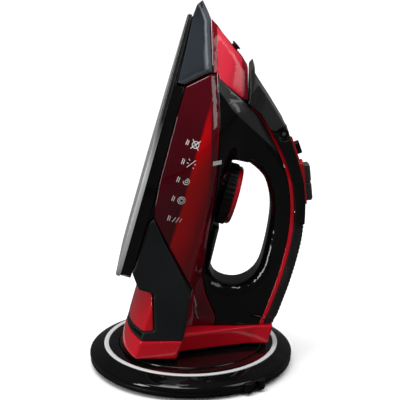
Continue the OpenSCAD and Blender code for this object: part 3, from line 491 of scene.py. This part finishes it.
def put(name, bm, body, nodes, slot, place=None, angle=38, keep_normals=False):
    """Turns a bmesh into a finished piece that rides on a body and stands for CAD nodes."""
    if place is not None:
        bmesh.ops.transform(bm, matrix=place, verts=bm.verts)
    if not keep_normals:
        bmesh.ops.recalc_face_normals(bm, faces=bm.faces)
    shade(bm, angle)
    mesh = bpy.data.meshes.new(name)
    bm.to_mesh(mesh)
    bm.free()
    piece = bpy.data.objects.new(name, mesh)
    scene.collection.objects.link(piece)
    mesh.materials.append(finishes[slot])
    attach(piece, body)
    if nodes:
        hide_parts(*nodes)
    return piece


def body_of_node(node):
    return frame["nodes"][node]["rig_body"]


def merged_copy(node):
    bm = bmesh.new()
    bm.from_mesh(frame["nodes"][node].data)
    bmesh.ops.remove_doubles(bm, verts=bm.verts, dist=2e-6)
    bmesh.ops.dissolve_limit(bm, angle_limit=math.radians(0.6), verts=bm.verts, edges=bm.edges)
    return bm


def eased(node, radius=0.5, segments=2, corner=28):
    """A part with its corners eased by a live bevel."""
    bm = merged_copy(node)
    piece = put(node + "_eased", bm, body_of_node(node), [node], finish_of[node],
                keep_normals=True, angle=corner)
    bevel = piece.modifiers.new("eased_corners", "BEVEL")
    bevel.limit_method = "ANGLE"
    bevel.angle_limit = math.radians(corner)
    bevel.width = radius * mm
    bevel.segments = segments
    bevel.miter_outer = "MITER_ARC"
    bevel.use_clamp_overlap = True
    bevel.harden_normals = False
    return piece


def moulded(node, voxel=0.8, passes=6, slot=None):
    """A part as it comes from a polished mould: every corner rounded and every facet run smooth."""
    bm = merged_copy(node)
    rough = bpy.data.meshes.new(node + "_rough")
    bm.to_mesh(rough)
    bm.free()
    holder = bpy.data.objects.new(node + "_holder", rough)
    scene.collection.objects.link(holder)
    remesh = holder.modifiers.new("even_faces", "REMESH")
    remesh.mode = "VOXEL"
    remesh.voxel_size = voxel * mm
    fine = bpy.data.meshes.new_from_object(holder.evaluated_get(bpy.context.evaluated_depsgraph_get()))
    bpy.data.objects.remove(holder)
    bm = bmesh.new()
    bm.from_mesh(fine)
    for _ in range(passes):
        bmesh.ops.smooth_vert(bm, verts=bm.verts, factor=0.5,
                              use_axis_x=True, use_axis_y=True, use_axis_z=True)
    return put(node + "_moulded", bm, body_of_node(node), [node], slot or finish_of[node],
               keep_normals=True, angle=70)


def turned(name, profile, body, nodes, slot, steps=144, ease=0.6):
    """A turned part: a profile of (radius, height) spun round the upright axis."""
    bm = bmesh.new()
    ring = [bm.verts.new((r, 0, z)) for r, z in profile]
    for a, b in zip(ring, ring[1:]):
        bm.edges.new((a, b))
    if profile[0][0] > 0.01:
        bm.edges.new((ring[-1], ring[0]))
    inner = [v for v in ring if v.co.x > 0.01]
    bmesh.ops.bevel(bm, geom=inner, offset=ease, segments=4, profile=0.5, affect="VERTICES",
                    material=-1, clamp_overlap=True)
    bmesh.ops.spin(bm, geom=bm.verts[:] + bm.edges[:], cent=(0, 0, 0), axis=(0, 0, 1), angle=math.tau,
                   steps=steps, use_merge=True)
    bmesh.ops.remove_doubles(bm, verts=bm.verts, dist=0.002)
    return put(name, bm, body, nodes, slot, upright)


# ---------------------------------------------------------------- the iron's skin
def along(points, x):
    """A smooth curve through points, read at x."""
    xs = [p[0] for p in points]
    if x <= xs[0]:
        return points[0][1]
    if x >= xs[-1]:
        return points[-1][1]
    i = bisect.bisect_right(xs, x) - 1

    def slope(k):
        if k <= 0 or k >= len(points) - 1:
            return 0.0 if k <= 0 else (points[-1][1] - points[-2][1]) / (xs[-1] - xs[-2])
        return (points[k + 1][1] - points[k - 1][1]) / (xs[k + 1] - xs[k - 1])

    w = xs[i + 1] - xs[i]
    t = (x - xs[i]) / w
    a, b = points[i][1], points[i + 1][1]
    return (a * (1 + 2 * t) * (1 - t) ** 2 + b * t * t * (3 - 2 * t)
            + w * slope(i) * t * (1 - t) ** 2 - w * slope(i + 1) * t * t * (1 - t))


plan_half = [(-20, 50.5), (20, 51.5), (50, 53), (75, 54.5), (100, 55), (130, 53.5), (160, 48),
             (190, 39.5), (215, 29.5), (235, 20), (250, 12.5), (262, 7), (277, 3)]
section_half = [(-20, 55), (9, 54.2), (20, 52.4), (30, 49.6), (36, 46.2), (50, 39.6), (56, 34), (61, 26),
                (66, 21), (72, 18.5), (90, 18.2), (150, 18)]
nose_section = [(-20, 55), (9, 54.2), (20, 52.4), (30, 49.6), (36, 46.2), (50, 38), (56, 33), (61, 29),
                (66, 25.5), (72, 22.5), (80, 19.8), (90, 18.4), (150, 18)]
rear_half = [(-20, 52), (60, 38), (98, 25), (150, 9)]
roof = [(20, 66), (66, 64.6), (91.6, 61.4), (133, 56), (172.8, 47.6), (203, 38.8), (227, 31), (261, 21),
        (277, 12)]
stripe = [(20, 123), (45, 124.8), (73, 126.5), (95, 126.5), (112, 125.3), (129, 122.3), (145, 117.5),
          (161, 110.3), (175, 101), (189, 88.5), (205, 71), (213, 56)]
back = [(20, 134), (57, 136), (76, 137), (97, 137), (114, 135.8), (129, 133), (143, 129.5),
        (161, 122.5), (175, 114), (186, 106.5), (196, 99.3), (202, 94), (217, 77.7), (231.5, 60.5)]


def softer_min(a, b, reach):
    near = max(reach - abs(a - b), 0.0) / reach
    return min(a, b) - near * near * reach / 4


def step_up(x, low, high):
    t = min(max((x - low) / (high - low), 0.0), 1.0)
    return t * t * (3 - 2 * t)


def skin(x, z):
    """Half width of the polished outside at x along the iron and z above the soleplate."""
    ahead = step_up(x, 158, 188)
    section = along(section_half, z) * (1 - ahead) + along(nose_section, z) * ahead
    half = softer_min(along(plan_half, x), section, 5)
    if x < 62:
        back_half = along(rear_half, z)
        half = softer_min(half, back_half + 40 * step_up(x, 40, 62), 5)
    chamfer = 5.5
    under = along(roof, x) - z
    if under < chamfer:
        half -= 2.6 * step_up(chamfer - under, 0, chamfer) * step_up(x, 60, 110)
    if x > 150 and z > along(roof, x):
        wide = 12 * step_up(x, 150, 215)
        gap = (along(stripe, min(x, 212)) - z) * 0.72
        if gap < wide:
            half -= 0.42 * (wide - max(gap, 0))
    return half - 0.15


def nearest(x, z, lines):
    best = 1e9
    for (ax, az), (bx, bz) in lines:
        dx, dz = bx - ax, bz - az
        t = ((x - ax) * dx + (z - az) * dz) / (dx * dx + dz * dz)
        t = min(max(t, 0.0), 1.0)
        best = min(best, math.hypot(x - ax - t * dx, z - az - t * dz))
    return best


split_gap = 0.12


def loop_lines(points):
    return list(zip(points, points[1:] + points[:1]))


def rounding(distance, radius):
    if distance >= radius:
        return 0.0
    return radius - math.sqrt(max(radius ** 2 - (radius - distance) ** 2, 0.0))


def plate(name, loops, body, nodes, slot, side=0, ease=0.7, big=None, grid=3.0, extra=None):
    """A cover drawn as a side outline, laid on the skin and closed down to the middle of the iron.
    side is 1 or -1 for one half, or 0 for both halves joined. big is (radius, lines) for a wide rounding."""
    bm = bmesh.new()
    lines = []
    for points in loops:
        lines += loop_lines(points)
        ring = [bm.verts.new((x, 0, z)) for x, z in points]
        for a, b in zip(ring, ring[1:] + ring[:1]):
            bm.edges.new((a, b))
    bmesh.ops.triangle_fill(bm, use_beauty=True, use_dissolve=False, edges=bm.edges[:])
    flat = bm.faces[:]
    for step in (0.14 * ease, 0.3 * ease, 0.56 * ease):
        bmesh.ops.inset_region(bm, faces=flat, thickness=step, use_boundary=True, use_even_offset=True)
    low = min(v.co.x for v in bm.verts), min(v.co.z for v in bm.verts)
    high = max(v.co.x for v in bm.verts), max(v.co.z for v in bm.verts)
    for axis, normal in ((0, (1, 0, 0)), (1, (0, 0, 1))):
        count = int((high[axis] - low[axis]) / grid)
        for i in range(1, count + 1):
            at = low[axis] + (high[axis] - low[axis]) * i / (count + 1)
            middle = (at, 0, 0) if axis == 0 else (0, 0, at)
            bmesh.ops.bisect_plane(bm, geom=bm.verts[:] + bm.edges[:] + bm.faces[:], dist=1e-4,
                                   plane_co=middle, plane_no=normal)
    bmesh.ops.remove_doubles(bm, verts=bm.verts, dist=0.03)
    for vert in bm.verts:
        x, z = vert.co.x, vert.co.z
        half = skin(x, z) - rounding(nearest(x, z, lines), ease)
        if big:
            half -= rounding(nearest(x, z, big[1]), big[0])
        if extra:
            half += extra(x, z)
        vert.co.y = max(half, 0.4)
    rim = [edge for edge in bm.edges if len(edge.link_faces) == 1]
    wall = bmesh.ops.extrude_edge_only(bm, edges=rim)["geom"]
    for vert in [item for item in wall if isinstance(item, bmesh.types.BMVert)]:
        vert.co.y = split_gap if side else 0.0
    if side:
        foot = [e for e in bm.edges if len(e.link_faces) == 1]
        bmesh.ops.triangle_fill(bm, use_beauty=True, use_dissolve=False, edges=foot)
        if side < 0:
            bmesh.ops.scale(bm, vec=(1, -1, 1), verts=bm.verts)
    else:
        bmesh.ops.mirror(bm, geom=bm.verts[:] + bm.edges[:] + bm.faces[:], axis="Y", merge_dist=0.01)
    bmesh.ops.remove_doubles(bm, verts=bm.verts, dist=0.005)
    return put(name, bm, body, nodes, slot, docked, angle=42)


def level_x(height, z):
    """Place along the iron of a level plane at a height over the floor, where the iron is z thick."""
    return (height - stand.z + z * math.sin(lean)) / math.cos(lean)


def between(curve, x0, x1, step, lift=0.0):
    count = max(int(abs(x1 - x0) / step), 1)
    return [(x0 + (x1 - x0) * i / count, along(curve, x0 + (x1 - x0) * i / count) + lift)
            for i in range(count + 1)]


def smooth_loop(points, steps=4):
    """A smooth open curve through points."""
    made = []
    for i in range(len(points) - 1):
        a, b = points[max(i - 1, 0)], points[i]
        c, d = points[i + 1], points[min(i + 2, len(points) - 1)]
        for k in range(steps):
            t = k / steps
            made.append(tuple(0.5 * (2 * q + (r - p) * t + (2 * p - 5 * q + 4 * r - s) * t * t
                                     + (3 * q - p - 3 * r + s) * t ** 3) for p, q, r, s in zip(a, b, c, d)))
    return made + [points[-1]]


heel_top = 37.0
gap = 0.2

# ---- water tank
tank_side = (between(roof, 226.5, 66, 6, -gap) + [(50, 72), (32, 86), (level_x(heel_top, 86) + gap, 86),
             (level_x(heel_top, 63.5) + gap, 63.6), (54.8, 59.5), (73, 44.8), (95, 26.4), (110, 14),
             (120, 11.1), (141, 9.5), (189.6, 9.0), (212.3, 9.4), (226.2, 26.2)])
plate("tank", [tank_side], "iron", ["water_tank"], "tank_red", ease=0.9)

# ---- nose cover and front panel
nose_side = [(276.7, 4.8), (271, 9.8), (264.5, 15.0), (252, 19.1), (241, 22.8), (227.3, 27.2), (224, 21.8),
             (218.6, 15.4), (213.4, 9.2), (214.2, 2.8), (240, 2.0), (262, 0.9), (271.6, 1.6)]
nose_edges = [((276.7, 4.8), (264.5, 15.0)), ((264.5, 15.0), (241, 22.8)), ((241, 22.8), (227.3, 27.2)),
              ((227.3, 27.2), (224, 21.8)), ((224, 21.8), (218.6, 15.4)), ((218.6, 15.4), (213.4, 9.2))]
plate("nose", [nose_side], "iron", ["nose_cover"], "slate_gloss", ease=0.7,
      big=(7.0, nose_edges), grid=2.0, extra=lambda x, z: 1.2)
panel_side = [(264.6, 15.4), (261, 21.3), (256.5, 26.8), (250.7, 34.8), (242.3, 47.3), (236.8, 53.0),
              (225, 56.4), (213.8, 59.7), (214, 56), (224.2, 33.6), (227.8, 31.3), (227.7, 27.5), (241, 23.1),
              (252, 19.4)]
panel_top = [((264.6, 15.4), (256.5, 26.8)), ((256.5, 26.8), (242.3, 47.3)), ((242.3, 47.3), (236.8, 53.0))]
plate("front", [panel_side], "iron", ["front_panel"], "front_red", ease=0.8, big=(5.0, panel_top), grid=2.5)

# ---- handle halves
opening = smooth_loop([(165, 61.2), (165, 66), (163.5, 76), (158, 87.6), (151, 94.4), (136, 102.2),
                       (119, 106.2), (98, 108.4), (82, 108.4), (71, 104.4), (63.5, 96.5), (60.8, 86),
                       (63, 76), (70, 70)], 4)
opening += [(104, 68.4), (105, 61.2)]
handle_side = (between(roof, 66, 224, 6, 0.4) + [(224, 33.8), (213.4, 55.4)]
               + between(stripe, 208, 40, 5, -1.95)
               + [(level_x(heel_top, 122) + gap, 122), (level_x(heel_top, 86.4) + gap, 86.4), (32.4, 86.4),
                  (50.4, 72.4)])
grip_hole = [line for line in loop_lines(opening) if min(line[0][1], line[1][1]) > 74 or line[0][0] < 100]
for name, side in (("handle_left", 1), ("handle_right", -1)):
    plate(name + "_shell", [handle_side, opening], "iron", [name], "handle_black", side=side,
          ease=0.6, big=(9.0, grip_hole))

# ---- red stripe
stripe_band = (between(stripe, 40, 209, 5, 1.65) + between(stripe, 209, 40, 5, -1.65)
               + [(level_x(heel_top, 122.6) + gap, 122.6), (level_x(heel_top, 126) + gap, 126)])
for name, side in (("stripe_left", 1), ("stripe_right", -1)):
    plate(name + "_trim", [stripe_band], "iron", [name], "red_gloss", side=side, ease=0.5, grid=4,
          extra=lambda x, z: 0.15)

# ---- ribbed grip along the back of the handle
rib_pitch = 3.6


def ribbed(points, height):
    return [(x, z - height * (0.5 + 0.5 * math.cos(math.tau * x / rib_pitch))) for x, z in points]


grip_line = between(back, 127.6, 40, 0.9)
grip_side = (between(stripe, 40, 127.6, 4, 1.95) + ribbed(grip_line, 0.7)
             + [(level_x(heel_top, 134) + gap, 134), (level_x(heel_top, 126.4) + gap, 126.4)])
def grip_ribs(x, z):
    return -0.3 * (0.5 + 0.5 * math.cos(math.tau * x / rib_pitch)) * step_up(z - along(stripe, x), 1, 3)


plate("grip", [grip_side], "iron", ["grip_pad"], "grip_rubber", ease=0.5,
      big=(6.5, list(zip(grip_line, grip_line[1:]))), grid=1.8, extra=grip_ribs)

# ---- plain printed marks on the tank: one row for each kind of cloth, and a level line
def printed(name, strokes, thick=0.55, lift=0.04):
    """Printed strokes, each a thin ribbon laid on the skin on both sides of the tank."""
    bm = bmesh.new()
    for points in strokes:
        for (ax, az), (bx, bz) in zip(points, points[1:]):
            long = math.hypot(bx - ax, bz - az)
            turn = Matrix.Translation(((ax + bx) / 2, 0, (az + bz) / 2)) @ Matrix.Rotation(
                -math.atan2(bz - az, bx - ax), 4, "Y") @ Matrix.Diagonal((long + thick * 0.6, 0.12, thick, 1))
            bar = bmesh.ops.create_cube(bm, size=1, matrix=turn)["verts"]
            for vert in bar:
                vert.co.y += skin(vert.co.x, vert.co.z) + lift
    bmesh.ops.mirror(bm, geom=bm.verts[:] + bm.edges[:] + bm.faces[:], axis="Y", merge_dist=-1)
    return put(name, bm, "iron", [], "white_print", docked)


def ring_mark(x, z, radius, turns=12, part=1.0):
    angles = [math.tau * part * i / turns for i in range(turns + 1)]
    return [(x + radius * math.cos(a), z + radius * math.sin(a)) for a in angles]


marks = []
mark_places = [(173.8, 28.5), (159.2, 29.2), (144.9, 29.4), (129.5, 29.8), (113.4, 30.8)]
for row, (x, z) in enumerate(mark_places):
    if row == 0:
        marks += [ring_mark(x, z, 2.6), [(x - 3.4, z - 3.0), (x + 3.4, z + 3.0)],
                  [(x - 3.4, z + 3.0), (x + 3.4, z - 3.0)]]
    elif row == 1:
        marks += [[(x - 3.2, z - 2.6), (x + 3.2, z + 2.6)], [(x - 3.2, z + 2.6), (x + 3.2, z - 2.6)],
                  [(x, z - 3.4), (x, z + 3.4)]]
    elif row == 2:
        marks += [ring_mark(x, z, 2.4, part=0.75), ring_mark(x + 0.3, z, 1.1)]
    elif row == 3:
        marks += [ring_mark(x, z, 2.9), ring_mark(x, z, 1.5)]
    else:
        marks += [[(x - 2, z - 3.4), (x + 1.6, z - 1.6)], [(x - 2.2, z - 0.4), (x + 1.8, z + 1.0)],
                  [(x - 1.6, z + 2.4), (x + 1.2, z + 3.4)]]
    marks += [[(x - 1.6, z - 7.4), (x + 2.4, z - 7.0)], [(x - 1.6, z - 6.0), (x + 1.8, z - 5.7)]]
printed("tank_marks", marks)
printed("level_line", [[(162.6, 46.8), (163.8, 51.4)]], 3.4)
printed("lens_sides", [[(129.6, 129.0), (136.4, 127.6)]], 3.0, 0.2)

# ---- moulded parts with their own shapes
moulded("control_bezel", 0.6, 5)
moulded("fill_lid", 0.6, 5, "lid_touch")
moulded("rear_skirt", 0.8, 6)
moulded("heel_window", 0.8, 4)
moulded("heel_cap", 0.9, 4)
moulded("cord_outlet", 0.5, 4)
moulded("dial_knob", 0.6, 3)
moulded("steam_slider", 0.35, 4)
moulded("spray_button", 0.4, 4)
moulded("steam_button", 0.4, 4)
moulded("button_frame", 0.4, 3)
moulded("slider_frame", 0.3, 3)
moulded("spray_nozzle", 0.35, 3)
eased("dial_face", 0.4)
eased("sole_plate", 0.5)
eased("heat_shield", 0.4)
eased("pilot_lens", 0.4)

# ---- return springs, each a copy of its coil with a mesh of its own
for node, joint in (("spray_spring", "spray_press"), ("steam_spring", "burst_press")):
    bm = merged_copy(node)
    coil = put(node + "_coil", bm, body_of_node(node), [node], finish_of[node], keep_normals=True)
    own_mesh(coil)

# ---- charging base
base_r, deck = 85.0, 16.6
turned("base_cover", [(base_r, 7.3), (base_r, 9.8), (84.0, 11.2), (73.1, deck), (73.1, 15.2), (68.9, 15.2),
                      (68.9, deck), (60.6, 16.9), (60.6, 9.8), (15, 9.8), (15, 8.0), (62.4, 8.0),
                      (62.4, 13.4), (75, 13.4), (82.6, 9.0), (82.6, 7.3)],
       "base", ["base_top_cover"], "black_gloss", ease=0.5)
turned("silver_ring", [(69.1, 15.3), (72.9, 15.3), (72.9, 16.8), (71.95, 17.0), (70.05, 17.0), (69.1, 16.8)],
       "base", ["base_ring"], "silver_trim", ease=0.2)
turned("base_shell", [(3, 1.5), (81.6, 1.5), (84.6, 4.0), (84.6, 7.1), (82.4, 7.1), (82.4, 4.5), (79.6, 3.5),
                      (3, 3.5)], "base", ["base_bottom_shell"], "black_satin", ease=0.5)
turned("turntable_disc", [(9.06, 12), (60, 12), (60, 17.2), (59.2, 17.8), (24, 17.8), (24, 29.2),
                          (21.8, 29.2), (9.06, 29.2)], "turntable", ["turntable"], "black_gloss", ease=0.5)

for node, thing in frame["nodes"].items():
    thing.data.materials.clear()
    thing.data.materials.append(finishes[finish_of[node]])

# ---------------------------------------------------------------- floor
bm = bmesh.new()
bmesh.ops.create_grid(bm, x_segments=8, y_segments=8, size=14)
mesh = bpy.data.meshes.new("floor")
bm.to_mesh(mesh)
bm.free()
floor = bpy.data.objects.new("floor", mesh)
scene.collection.objects.link(floor)
pale = bpy.data.materials.new("pale_floor")
pale.use_nodes = True
g = Graph(pale.node_tree)
tone = g.blend(g.noise(object_place(g), 6.0), (0.93, 0.93, 0.93, 1), (0.95, 0.95, 0.95, 1))
seen = g.node("ShaderNodeLightPath").outputs["Is Camera Ray"]
g.join(g.blend(seen, (0.05, 0.05, 0.05, 1), tone), g.nodes["Principled BSDF"].inputs["Base Color"])
g.nodes["Principled BSDF"].inputs["Roughness"].default_value = 0.9
g.nodes["Principled BSDF"].inputs["Specular IOR Level"].default_value = 0.0
mesh.materials.append(pale)
